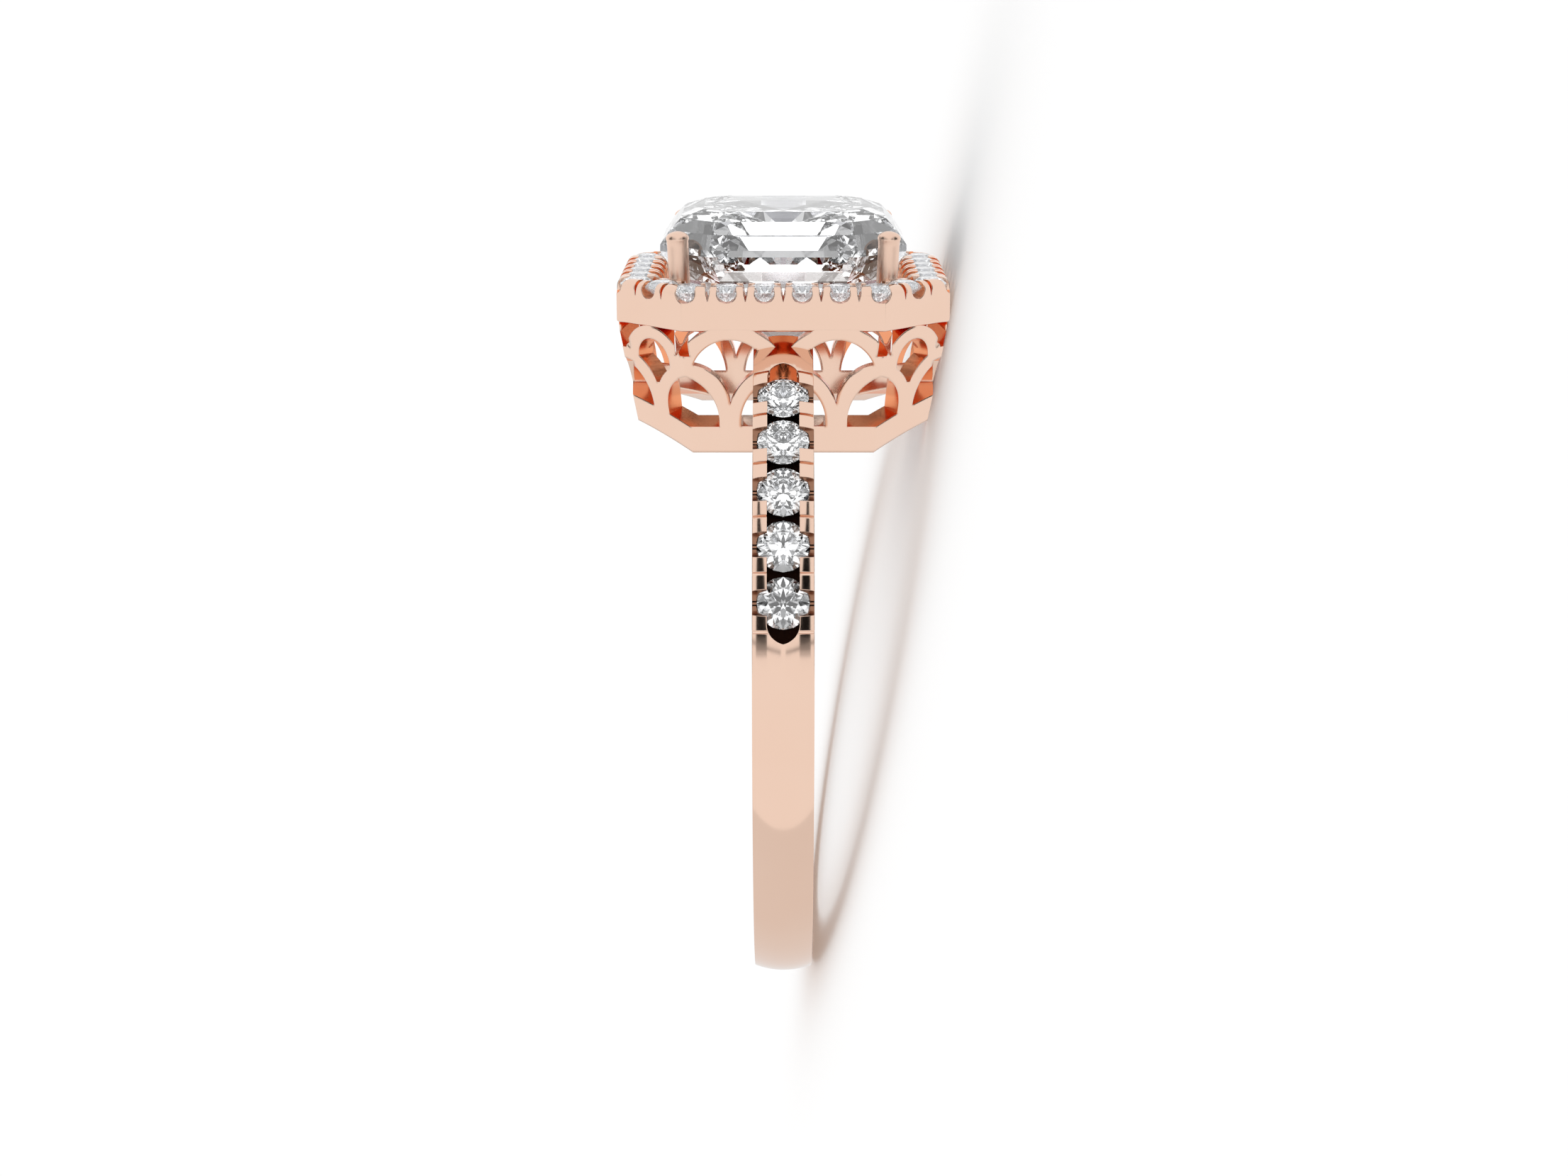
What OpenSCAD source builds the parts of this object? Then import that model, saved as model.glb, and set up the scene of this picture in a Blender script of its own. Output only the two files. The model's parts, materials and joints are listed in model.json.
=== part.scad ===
// Halo engagement ring with a square step-cut stone, laid on its side.
// Every piece is drawn with the ring upright: x runs along the finger, z points
// to the stone, and the middle of the finger hole is the origin. laid_down()
// then rolls the ring over onto the halo's lower edge and the foot of the shank,
// as it lies on a table.

/* [Finger hole and shank] */
// Inside diameter of the finger hole
finger_d = 16.5; // [16.3:0.1:16.7]
// Thickness of the shank at its foot, opposite the stone
shank_t = 1.6; // [1.5:0.05:1.7]
// Width of the shank along the finger
shank_w = 1.7; // [1.66:0.02:1.78]
// How far the middle of the outer circle sits above the middle of the hole
shank_rise = 0.83; // [0.8:0.01:0.86]
// Radius of the dome across the outside of the shank
shank_dome_r = 2.4; // [2.2:0.1:3]

/* [Stones in the shank] */
// Stones in each shoulder
shoulder_stones = 5; // [3:1:5]
// Diameter of each shank stone
shank_stone_d = 1.44; // [1.38:0.02:1.46]
// Angle of the lowest shank stone above level
first_angle = 18.85; // [18.4:0.05:19.6]
// Angle from one shank stone to the next
angle_step = 8.65; // [8.6:0.01:8.7]
// Width of the open channel between the two rows of posts
channel_w = 0.89; // [0.84:0.01:0.92]
// Depth of that channel
channel_depth = 0.56; // [0.48:0.01:0.6]
// Width of the round notch beside each shank stone
shank_notch_w = 0.73; // [0.68:0.01:0.78]

/* [Halo] */
// Distance from the middle to a straight side's outer face
halo_half = 4.85; // [4.83:0.01:4.88]
// Distance from the middle to a cut corner's outer face
halo_corner = 5.48; // [5.46:0.01:5.51]
// Width of the band that holds the halo stones
halo_w = 1.3; // [1.27:0.01:1.33]
// Height of the band's plain outer face
halo_face_h = 1.01; // [0.96:0.01:1.06]
// Height of the rounded beads above that face
bead_h = 0.26; // [0.24:0.01:0.28]
// Diameter of each halo stone
halo_stone_d = 1.02; // [0.98:0.01:1.03]
// Distance from one halo stone to the next
halo_pitch = 1.075; // [1.07:0.005:1.085]
// Width of the round notch beside each halo stone
halo_notch_w = 0.56; // [0.5:0.01:0.58]

/* [Gallery] */
// Height of the gallery from the foot of its front wall to the halo
gallery_h = 3.63; // [3.6:0.01:3.66]
// Distance from the middle to a straight wall at its foot
gallery_half = 4.155; // [4.14:0.005:4.17]
// Distance from the middle to a corner wall at its foot
gallery_corner = 4.79; // [4.775:0.005:4.805]
// Thickness of the walls
wall_t = 0.55; // [0.5:0.01:0.6]
// Height of the rail that follows the finger
rail_h = 0.76; // [0.72:0.01:0.8]
// Width of the pier where two lower arches meet
pier_w = 0.62; // [0.58:0.01:0.66]
// Width of the band of metal over a lower arch
arch_band = 0.36; // [0.34:0.01:0.38]

/* [Centre stone and prongs] */
// Side of the square stone at its girdle
stone_w = 7.2; // [7.14:0.02:7.22]
// Depth of the stone below its girdle
pavilion_h = 3.2; // [3.1:0.05:3.3]
// Height of the table above the girdle
crown_h = 0.98; // [0.94:0.01:1.02]
// Diameter of a prong
prong_d = 0.62; // [0.6:0.01:0.64]
// Lean of each prong, outwards from foot to tip
prong_lean = 3.2; // [2.8:0.1:3.4]

/* [Hidden] */
$fn = 48;

// Finger hole and shank
finger_r = finger_d / 2;
rail_r = finger_r + 0.05;
rail_top_r = rail_r + rail_h;
shank_r = finger_r + shank_t + shank_rise;
dome_drop = shank_dome_r - sqrt(pow(shank_dome_r, 2) - pow(shank_w / 2, 2));
last_angle = first_angle + (shoulder_stones - 1) * angle_step;
channel_over = 3.1;
arch_end = 0.55;
fine_w = 0.08;

// Heights of the head above the middle of the finger hole
foot_z = sqrt(pow(rail_r, 2) - pow(gallery_half, 2));
halo_z = foot_z + gallery_h;
shoulder_z = halo_z + halo_face_h;
bead_z = shoulder_z + bead_h;
girdle_z = bead_z + 0.69;
girdle_top_z = girdle_z + 0.19;
table_z = girdle_top_z + crown_h;
lip = 0.05;
lip_h = 0.12;

// Gap between a stone and its seat
gap = 0.02;

// Proportions of a round brilliant, as shares of its diameter
table_share = 0.57;
crown_share = 0.15;
girdle_share = 0.03;
pavilion_share = 0.42;
halo_girdle_z = bead_z - (crown_share + girdle_share) * halo_stone_d;
shank_girdle_r = shank_r - 0.07 - (crown_share + girdle_share) * shank_stone_d;

// Row of the halo stones: six along a straight side and one in each cut corner
row_at = halo_half - 0.61;
side_row = [for (i = [0:5]) (i - 2.5) * halo_pitch];
corner_at = (row_at + side_row[5]) / 2;
end_turn = 10;
notch_reach = 1.2;

// Places of the halo stones: x, y, direction of the notch, its reach to the inside
HALO_PLACES = [for (q = [0:3]) each concat(
    [for (s = side_row) concat(turned(s, -row_at, 90 * q),
        [90 * q + (abs(s) > 2 * halo_pitch ? end_turn * sign(s) : 0), notch_reach])],
    [concat(turned(corner_at, -corner_at, 90 * q), [90 * q + 45, 0])])];

// Places of the grooves that part the beads: x, y, direction
far_groove = (corner_at + row_at) / 2;
near_groove = (corner_at + side_row[5]) / 2;
GROOVE_PLACES = [for (q = [0:3]) each concat(
    [for (i = [-2:2]) concat(turned(i * halo_pitch, -row_at, 90 * q), [90 * q])],
    [concat(turned(near_groove, -far_groove, 90 * q), [90 * q + 45]),
     concat(turned(far_groove, -near_groove, 90 * q), [90 * q + 45])])];

// Pierced arches of the gallery. In a wall, s runs along it from its middle, and
// heights are above the foot of the front wall. The lower arches stand on the rail
// between piers, and an upper arch rises from two crowns, over each pier.
// The rail is low at the front and back, and high at the sides.
STRAIGHT_PIERS = [-1.53, 1.53];
STRAIGHT_ARCHES = [-2.8, 0, 2.8];
CORNER_ARCHES = [-1.25, 1.25];
front_crown = 2.3;
side_crown = 2.58;
// Heights where an arch springs and where two neighbours part
FRONT_HEIGHTS = [0.92, 1.435];
CORNER_HEIGHTS = [1.25, 1.845];
SIDE_HEIGHTS = [1.42, 2.07];
// Upper arches: outer radius and crown, inner radius and crown
STRAIGHT_UPPER = [1.73, 3.8, 1.12, 3.385];
CORNER_UPPER = [1.25, 3.66, 0.65, 3.285];

// Size of the gallery's walls where they meet the halo
gallery_top_half = halo_half - lip - 0.03;
gallery_top_corner = halo_corner - lip - 0.03;

// Layers of the centre stone from the culet up: distance from the middle to a
// side, distance to a cut corner, height
STONE_LAYERS = [
    [0.06, 0.07, girdle_z - pavilion_h],
    [stone_w / 2 - 1.5, 2.4, girdle_z - 0.556 * pavilion_h],
    [stone_w / 2 - 0.5, 3.48, girdle_z - 0.26 * pavilion_h],
    [stone_w / 2, 4.06, girdle_z],
    [stone_w / 2, 4.06, girdle_top_z],
    [stone_w / 2 - 0.28, 3.8, girdle_top_z + 0.42 * crown_h],
    [stone_w / 2 - 0.6, 3.53, girdle_top_z + 0.77 * crown_h],
    [stone_w / 2 - 1.25, 2.83, table_z],
];

// The roll onto the side, and what then reaches furthest
rest_x = halo_half - shank_w / 2;
rest_z = halo_z + lip_h + shank_r - shank_rise - dome_drop;
roll = atan(rest_x / rest_z);
low_side = halo_half * cos(roll) - (halo_z + lip_h) * sin(roll);
foot_end = (shank_r - shank_rise - shank_dome_r) * cos(roll) + shank_dome_r;
table_end = (stone_w / 2 - 1.25) * sin(roll) + table_z * cos(roll);

HALO_NAMES = [for (i = [1:len(HALO_PLACES)]) str("halo_stone_", i)];
SHANK_NAMES = [for (i = [1:2 * shoulder_stones]) str("shank_stone_", i)];

function turned(x, y, a) = [x * cos(a) - y * sin(a), x * sin(a) + y * cos(a)];
function between(low, high, z) = low + (high - low) * (z - foot_z) / gallery_h;
function nearest(s, places) = min([for (p = places) abs(p - s)]);
function arch_r(half, rise) = (pow(half, 2) + pow(rise, 2)) / (2 * rise);
function shank_angle(i) = first_angle + angle_step * (i % shoulder_stones);

module laid_down() {
    translate([(foot_end - table_end) / 2, 0, low_side]) rotate([0, 90 - roll, 0]) children();
}

// Square with cut corners, given by the distances to its sides and to its corners
module octagon(half, corner) {
    intersection() {
        square(2 * half, center = true);
        rotate(45) square(2 * corner, center = true);
    }
}

// Solid with eight walls that lean, from layers of distance, corner distance, height
module eight_walls(layers) {
    n = len(layers);
    intersection_for(turn = [0, 45, 90, 135]) {
        column = turn % 90 == 0 ? 0 : 1;
        rotate([90, 0, turn]) linear_extrude(20, center = true) polygon(concat(
            [for (l = layers) [l[column], l[2]]],
            [for (i = [n - 1:-1:0]) [-layers[i][column], layers[i][2]]]));
    }
}

module finger_cylinder(r) {
    rotate([0, 90, 0]) cylinder(r = r, h = 20, center = true);
}

// Round brilliant with the lower edge of its girdle at height 0
module brilliant(d) {
    r = d / 2;
    girdle = girdle_share * d;
    top = girdle + crown_share * d;
    deep = pavilion_share * d;
    table_r = table_share * r;
    star_r = 0.82 * r;
    star_z = top - (top - girdle) / (r - table_r) * (star_r * cos(22.5) - table_r);
    half_r = 0.3 * r;
    half_z = deep / r * half_r * cos(22.5) - deep;
    points = concat(
        [for (i = [0:7]) [table_r * cos(45 * i), table_r * sin(45 * i), top]],
        [for (i = [0:7]) [star_r * cos(45 * i + 22.5), star_r * sin(45 * i + 22.5), star_z]],
        [for (i = [0:15]) [r * cos(22.5 * i), r * sin(22.5 * i), girdle]],
        [for (i = [0:15]) [r * cos(22.5 * i), r * sin(22.5 * i), 0]],
        [for (i = [0:7]) [half_r * cos(45 * i + 22.5), half_r * sin(45 * i + 22.5), half_z]],
        [[0, 0, -deep]]);
    star = 8;
    upper = 16;
    lower = 32;
    half = 48;
    culet = 56;
    polyhedron(points, concat(
        [[7, 6, 5, 4, 3, 2, 1, 0]],
        [for (i = [0:7]) each let (next = (i + 1) % 8, far = (2 * i + 2) % 16) [
            [i, next, star + i],
            [next, upper + far, star + i],
            [i, star + i, upper + 2 * i],
            [star + i, upper + 2 * i + 1, upper + 2 * i],
            [star + i, upper + far, upper + 2 * i + 1],
            [lower + 2 * i, lower + 2 * i + 1, half + i],
            [lower + 2 * i + 1, lower + far, half + i],
            [lower + 2 * i, half + i, culet],
            [lower + far, culet, half + i],
        ]],
        [for (i = [0:15]) [upper + i, upper + (i + 1) % 16, lower + (i + 1) % 16, lower + i]]));
}

// Room for a round stone. Metal beside it is left over the slope of its crown
module seat(d) {
    top = (girdle_share + crown_share) * d;
    rotate_extrude() polygon([
        [0, -pavilion_share * d - 2 * gap],
        [d / 2 + gap, -gap],
        [d / 2 + gap, girdle_share * d + gap],
        [table_share * d / 2 + gap, top + gap],
        [table_share * d / 2 + gap, top + 0.3],
        [0, top + 0.3],
    ]);
}

module on_halo(place, z) {
    translate([place[0], place[1], z]) rotate(place[2]) children();
}

// Places a shape on a shoulder of the shank: z outwards, y up the shank
module on_shank(i, angle, r) {
    rotate(i < shoulder_stones ? 0 : 180) translate([0, 0, shank_rise])
        rotate([90 - angle, 0, 0]) translate([0, 0, r]) children();
}

// Pointed arch on the line y = 0, carried down to its foot
module pointed_arch(half, rise, down = 0) {
    r = arch_r(rise, half);
    intersection() {
        translate([half - r, 0]) circle(r = r);
        translate([r - half, 0]) circle(r = r);
        translate([-half - 1, 0]) square([2 * half + 2, rise + 1]);
    }
    if (down > 0) translate([-half, -down]) square([2 * half, down]);
}

module shank() {
    difference() {
        translate([0, 0, shank_rise]) rotate([0, 90, 0]) rotate_extrude() intersection() {
            translate([shank_r - shank_dome_r, 0]) circle(r = shank_dome_r);
            translate([0, -shank_w / 2]) square([shank_r + 1, shank_w]);
        }
        finger_cylinder(finger_r);
        for (i = [0:2 * shoulder_stones - 1]) {
            on_shank(i, shank_angle(i), shank_girdle_r) seat(shank_stone_d);
            on_shank(i, shank_angle(i), shank_r) rotate([0, 90, 0])
                cylinder(d = shank_notch_w, h = 2 * shank_w, center = true);
            on_shank(i, shank_angle(i) + angle_step / 2, shank_r) fine_groove();
        }
        for (i = [0, shoulder_stones]) {
            on_shank(i, first_angle - angle_step / 2, shank_r) fine_groove();
            shoulder_channel(i);
        }
    }
}

// Groove that parts two posts of the shank
module fine_groove() {
    translate([-shank_w, -fine_w / 2, -dome_drop - 0.1]) cube([2 * shank_w, fine_w, 1]);
}

// Channel under the stones of a shoulder, with an arch at each end
module shoulder_channel(i) {
    rotate(i < shoulder_stones ? 0 : 180) translate([0, 0, shank_rise]) rotate([0, 90, 0])
        rotate(270 - last_angle - channel_over)
            rotate_extrude(angle = last_angle - first_angle + 2 * channel_over)
                translate([shank_r - channel_depth, -channel_w / 2]) square([2, channel_w]);
    on_shank(i, last_angle + channel_over, shank_r - channel_depth)
        linear_extrude(2) pointed_arch(channel_w / 2, arch_end);
    on_shank(i, first_angle - channel_over, shank_r - channel_depth)
        rotate(180) linear_extrude(2) pointed_arch(channel_w / 2, arch_end);
}

// Disc that fills an arch up to its crown
module arch_disc(s, r, crown) {
    translate([s, foot_z + crown - r]) circle(r = r);
}

// What is cut out of one wall, drawn flat
module lace(piers, arches, heights, crowns, upper) {
    for (i = [0:len(arches) - 1]) translate([arches[i], foot_z + heights[0]])
        pointed_arch(nearest(arches[i], piers) - pier_w / 2, crowns[i] - heights[0], 2);
    for (p = piers) difference() {
        arch_disc(p, upper[2], upper[3]);
        for (i = [0:len(arches) - 1]) arch_disc(arches[i],
            arch_r(nearest(arches[i], piers), crowns[i] + arch_band - heights[1]),
            crowns[i] + arch_band);
    }
    difference() {
        translate([-3.4, foot_z + 2.9]) square([6.8, gallery_h - 2.9]);
        for (p = piers) arch_disc(p, upper[0], upper[1]);
    }
}

// Keeps a wall's lace off its neighbours, but lets it run a little round the edge
module within_wall(foot, top) {
    past = 0.2;
    intersection() {
        children();
        polygon([
            [-foot - past, foot_z - 0.5],
            [foot + past, foot_z - 0.5],
            [top + past, halo_z],
            [-top - past, halo_z],
        ]);
    }
}

module through_wall(turn, from) {
    rotate([90, 0, turn]) translate([0, 0, from]) linear_extrude(2.5) children();
}

module gallery() {
    foot = gallery_corner * sqrt(2) - gallery_half;
    top = gallery_top_corner * sqrt(2) - gallery_top_half;
    foot_leg = (gallery_half - foot) / sqrt(2);
    top_leg = (gallery_top_half - top) / sqrt(2);
    low = front_crown;
    high = side_crown;
    // A corner wall's crowns are a little lower, so that two holes never meet in a line
    corner_low = front_crown - 0.06;
    corner_high = side_crown - 0.08;
    difference() {
        gallery_block(0, foot_z - 0.3, halo_z + 0.2);
        finger_cylinder(rail_r);
        difference() {
            for (turn = [0, 180]) {
                through_wall(turn, 3.25) within_wall(foot, top)
                    lace(STRAIGHT_PIERS, STRAIGHT_ARCHES, FRONT_HEIGHTS, [low, low, low], STRAIGHT_UPPER);
                through_wall(turn + 90, 3.25) within_wall(foot, top)
                    lace(STRAIGHT_PIERS, STRAIGHT_ARCHES, SIDE_HEIGHTS, [high, high, high], STRAIGHT_UPPER);
                through_wall(turn + 45, 3.9) within_wall(foot_leg, top_leg)
                    lace([0], CORNER_ARCHES, CORNER_HEIGHTS, [corner_low, corner_high], CORNER_UPPER);
                through_wall(turn + 135, 3.9) within_wall(foot_leg, top_leg)
                    lace([0], CORNER_ARCHES, CORNER_HEIGHTS, [corner_high, corner_low], CORNER_UPPER);
            }
            finger_cylinder(rail_top_r);
        }
    }
}

// Block with the gallery's eight leaning walls, pulled in by a thickness
module gallery_block(inwards, from, to) {
    eight_walls([for (z = [from, to]) [
        between(gallery_half, gallery_top_half, z) - inwards,
        between(gallery_corner, gallery_top_corner, z) - inwards,
        z]]);
}

module halo_block() {
    eight_walls([
        [halo_half - lip, halo_corner - lip, halo_z],
        [halo_half, halo_corner, halo_z + lip_h],
        [halo_half, halo_corner, shoulder_z],
        [halo_half - 0.06, halo_corner - 0.06, shoulder_z + 0.65 * bead_h],
        [halo_half - 0.17, halo_corner - 0.17, bead_z],
    ]);
}

// Room inside the gallery and the opening of the halo above it
module open_middle() {
    inner = halo_half - halo_w;
    inner_corner = halo_corner - halo_w;
    gallery_block(wall_t, foot_z - 0.35, halo_z);
    eight_walls([
        [inner, inner_corner, halo_z - 0.5],
        [inner, inner_corner, shoulder_z],
        [inner + 0.07, inner_corner + 0.07, shoulder_z + 0.65 * bead_h],
        [inner + 0.2, inner_corner + 0.2, bead_z],
        [inner + 0.3, inner_corner + 0.3, bead_z + 0.1],
    ]);
}

// Channel between the two rows of beads, and what parts the beads
module bead_cuts() {
    translate([0, 0, bead_z - 0.34]) linear_extrude(1) difference() {
        octagon(halo_half - 0.36, halo_corner - 0.36);
        octagon(halo_half - 0.86, halo_corner - 0.86);
    }
    for (p = HALO_PLACES) on_halo(p, bead_z) halo_notch(p[3]);
    for (p = GROOVE_PLACES) on_halo(p, bead_z) rotate([90, 0, 0])
        linear_extrude(2 * notch_reach, center = true) polygon([[-0.09, 0.05], [0, -0.42], [0.09, 0.05]]);
}

// Notch with a round bottom beside a halo stone, from its reach inside to the outside
module halo_notch(reach) {
    depth = 0.46;
    r = halo_notch_w / 2;
    rotate([90, 0, 0]) translate([0, 0, -reach]) linear_extrude(reach + notch_reach) {
        translate([0, r - depth]) circle(r = r);
        translate([-0.98 * r, r - depth + 0.05]) square([1.96 * r, depth]);
    }
}

module prongs() {
    foot_at = 2.962;
    from = halo_z + 0.13;
    wire_l = girdle_top_z + 0.16 - from;
    for (q = [0:3]) rotate(90 * q) translate([foot_at, foot_at, from])
        rotate([0, 0, 45]) rotate([0, prong_lean, 0]) {
            cylinder(d = prong_d, h = wire_l);
            translate([0, 0, wire_l]) sphere(d = prong_d + 0.05);
        }
}

// Room for the centre stone, which notches the prongs at its corners
module stone_room() {
    eight_walls([for (i = [0:len(STONE_LAYERS) - 1])
        [STONE_LAYERS[i][0] + gap, STONE_LAYERS[i][1] + gap,
         STONE_LAYERS[i][2] + (i < 4 ? -gap : gap)]]);
}

// The seats are cut last, because a corner stone's seat also notches its prong
module ring_mount() {
    color("#e3b69f") laid_down() difference() {
        union() {
            difference() {
                union() {
                    shank();
                    gallery();
                    halo_block();
                }
                open_middle();
                bead_cuts();
            }
            prongs();
        }
        stone_room();
        for (p = HALO_PLACES) on_halo(p, halo_girdle_z) seat(halo_stone_d);
    }
}

module centre_stone() {
    color("#e6ecf2") laid_down() eight_walls(STONE_LAYERS);
}

module halo_stone(i) {
    color("#dfe5ea") laid_down() on_halo(HALO_PLACES[i], halo_girdle_z) brilliant(halo_stone_d);
}

module shank_stone(i) {
    color("#dfe5ea") laid_down() on_shank(i, shank_angle(i), shank_girdle_r) brilliant(shank_stone_d);
}

ring_mount();
centre_stone();
for (i = [0:len(HALO_NAMES) - 1])
    halo_stone(i);
for (i = [0:len(SHANK_NAMES) - 1])
    shank_stone(i);
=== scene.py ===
"""Halo engagement ring in polished rose gold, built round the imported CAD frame."""

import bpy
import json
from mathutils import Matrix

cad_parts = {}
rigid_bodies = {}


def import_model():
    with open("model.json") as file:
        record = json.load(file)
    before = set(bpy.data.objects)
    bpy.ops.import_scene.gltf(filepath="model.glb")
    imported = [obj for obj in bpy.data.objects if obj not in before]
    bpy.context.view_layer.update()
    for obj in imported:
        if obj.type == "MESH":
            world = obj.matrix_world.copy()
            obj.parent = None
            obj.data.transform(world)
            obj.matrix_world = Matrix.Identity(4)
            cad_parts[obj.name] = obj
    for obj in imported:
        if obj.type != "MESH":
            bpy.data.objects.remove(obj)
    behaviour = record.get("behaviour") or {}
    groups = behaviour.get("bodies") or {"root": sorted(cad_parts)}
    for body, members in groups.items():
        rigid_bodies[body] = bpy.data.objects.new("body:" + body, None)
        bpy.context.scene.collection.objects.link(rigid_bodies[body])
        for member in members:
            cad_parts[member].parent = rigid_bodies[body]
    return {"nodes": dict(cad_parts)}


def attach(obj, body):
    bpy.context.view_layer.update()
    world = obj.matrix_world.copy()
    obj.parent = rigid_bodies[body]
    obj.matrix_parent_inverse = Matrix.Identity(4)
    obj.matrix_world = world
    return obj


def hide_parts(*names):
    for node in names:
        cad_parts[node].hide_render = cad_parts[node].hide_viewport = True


bl_info = {
    "name": "Halo engagement ring",
    "version": (1, 0, 0),
    "blender": (4, 5, 0),
    "location": "View3D > Sidebar > Ring",
    "description": "Models the ring's metal, dresses its stones and sets up the stage",
    "category": "Object",
}

import json
import math
from collections import namedtuple

import bpy
from mathutils import Matrix, Vector

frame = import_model()

MM = 0.001

# Every piece is modelled with the ring upright, as a jeweller draws it: x along the
# finger, y away from the lens, z to the stone. LAY_DOWN then rolls it onto its side,
# as it rests on a table, with the middle of the finger hole at REST_X, 0, REST_Z.
ROLL = math.radians(10.973288)
REST_X, REST_Z = -2.2118454, 2.6798077
LAY_DOWN = Matrix((
    (math.sin(ROLL), 0, math.cos(ROLL), REST_X * MM),
    (0, 1, 0, 0),
    (-math.cos(ROLL), 0, math.sin(ROLL), REST_Z * MM),
    (0, 0, 0, 1),
))

# Segments of a full circle, by how large it is
RING_STEPS = 288
ARCH_STEPS = 144
WIRE_STEPS = 64
STONE_STEPS = 48

# All sizes from here on are in millimetres, and angles in degrees.
# Heights are counted from the middle of the finger hole.
FOOT_Z = 7.185
HALO_Z = 10.815
BEAD_Z = 12.085
GIRDLE_Z = 12.775
GIRDLE_TOP_Z = 12.965
TABLE_Z = 13.945

# Centre stone from the culet up: distance to a side, distance to a cut corner, height
STONE_LAYERS = (
    (0.06, 0.07, 9.575), (2.1, 2.4, 10.996), (3.1, 3.48, 11.943), (3.6, 4.06, GIRDLE_Z),
    (3.6, 4.06, GIRDLE_TOP_Z), (3.32, 3.8, 13.377), (3.0, 3.53, 13.72), (2.35, 2.83, TABLE_Z),
)
SEAT_GAP = 0.02

# Shares of a round stone's diameter
TABLE_SHARE, CROWN_SHARE, GIRDLE_SHARE, PAVILION_SHARE = 0.57, 0.15, 0.03, 0.42

# Halo stones: six in a row along each side at ROW_AT, and one in each corner at CORNER_AT
HALO_STONE = 1.02
HALO_PITCH = 1.075
ROW_STONES = 6
ROW_AT = 4.24
ROW_END = (ROW_STONES - 1) / 2 * HALO_PITCH
CORNER_AT = (ROW_AT + ROW_END) / 2
HALO_GIRDLE_Z = BEAD_Z - (CROWN_SHARE + GIRDLE_SHARE) * HALO_STONE

# Shank: the middle of its outside lies SHANK_RISE above the finger hole's, and SHANK_DOME is
# the radius across its width. The stones of a shoulder stand at STONE_ANGLES above the level
# of that middle, with their tables STONE_SINK below the outside.
SHANK_STONE = 1.44
SHANK_RISE = 0.83
SHANK_DOME = 2.4
ANGLE_STEP = 8.65
STONE_ANGLES = [18.85 + ANGLE_STEP * i for i in range(5)]
STONE_SINK = 0.07
CHANNEL_WIDTH, CHANNEL_DEPTH = 0.89, 0.56
NOTCH_RADIUS = 0.365

# Gallery: distances of its walls at the foot, how far they lean out per mm of height, their
# thickness, and the radii between which its foot rail follows the finger
FOOT_SIDE, FOOT_CORNER = 4.155, 4.79
SIDE_LEAN, CORNER_LEAN = 0.18784, 0.1865
GALLERY_WALL = 0.55
RAIL_INSIDE, RAIL_OUTSIDE = 8.3, 9.06

# The openings of one wall of the gallery. piers and arches say where these stand along the
# wall. Heights are above the gallery's foot: the lower arches spring at spring, part from each
# other at part and end at crowns. Upper arches with eyes stand over the piers. foot and top
# are the wall's half widths there.
Lace = namedtuple("Lace", "piers arches spring part crowns upper_radius upper_crown "
                          "eye_radius eye_crown foot top")
FRONT_WALL = Lace(
    piers=(-1.53, 1.53), arches=(-2.8, 0, 2.8), spring=0.92, part=1.435, crowns=(2.3, 2.3, 2.3),
    upper_radius=1.73, upper_crown=3.8, eye_radius=1.12, eye_crown=3.385, foot=2.62, top=2.97)
SIDE_WALL = FRONT_WALL._replace(spring=1.42, part=2.07, crowns=(2.58, 2.58, 2.58))
CORNER_WALL = Lace(
    piers=(0,), arches=(-1.25, 1.25), spring=1.25, part=1.845, crowns=(2.24, 2.5),
    upper_radius=1.25, upper_crown=3.66, eye_radius=0.65, eye_crown=3.285, foot=1.085, top=1.27)
MIRRORED_CORNER_WALL = CORNER_WALL._replace(crowns=CORNER_WALL.crowns[::-1])

# Finishes of the metal, with its painted shadow, painted inter-reflection and painted shade, by
# material slot
POLISHED, PAINTED_SHADOW_FLOOR, PAINTED_INTERREFLECTION, SHADED_NOTCH = range(4)

# Sockets of a Mix node for colours
MIX_FACTOR, MIX_A, MIX_B, MIX_RESULT = 0, 6, 7, 2


def linear(hex_colour):
    """Linear RGB of an sRGB colour such as #edcebb."""
    parts = [int(hex_colour[i:i + 2], 16) / 255 for i in (1, 3, 5)]
    return tuple(c / 12.92 if c <= 0.04045 else ((c + 0.055) / 1.055) ** 2.4 for c in parts)


# ---------------------------------------------------------------- modelling by hand

def only(*objects):
    """Selects these objects alone and makes the first one active."""
    if bpy.context.mode != "OBJECT":
        bpy.ops.object.mode_set(mode="OBJECT")
    bpy.ops.object.select_all(action="DESELECT")
    for obj in objects:
        obj.select_set(True)
    bpy.context.view_layer.objects.active = objects[0]


def settle(obj, matrix=Matrix.Identity(4)):
    """Moves an object by matrix and puts its place into its mesh."""
    only(obj)
    obj.matrix_basis = matrix @ obj.matrix_basis
    bpy.ops.object.transform_apply(location=True, rotation=True, scale=True)
    return obj


def copy_of(obj, matrix=Matrix.Identity(4)):
    """A copy with its own mesh, moved by matrix."""
    twin = obj.copy()
    twin.data = obj.data.copy()
    bpy.context.collection.objects.link(twin)
    return settle(twin, matrix)


def joined(objects):
    """One object of several, which don't touch each other."""
    only(*objects)
    if len(objects) > 1:
        bpy.ops.object.join()
    return bpy.context.object


def combine(body, tool, operation="DIFFERENCE"):
    """Applies a Boolean of body and tool, and throws the tool away."""
    only(body)
    step = body.modifiers.new("boolean", "BOOLEAN")
    step.operation = operation
    step.solver = "MANIFOLD"
    step.object = tool
    bpy.ops.object.modifier_apply(modifier=step.name)
    bpy.data.objects.remove(tool)
    if not body.data.polygons:
        raise RuntimeError(f"{body.name}: nothing is left after {operation.lower()}")
    return body


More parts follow.
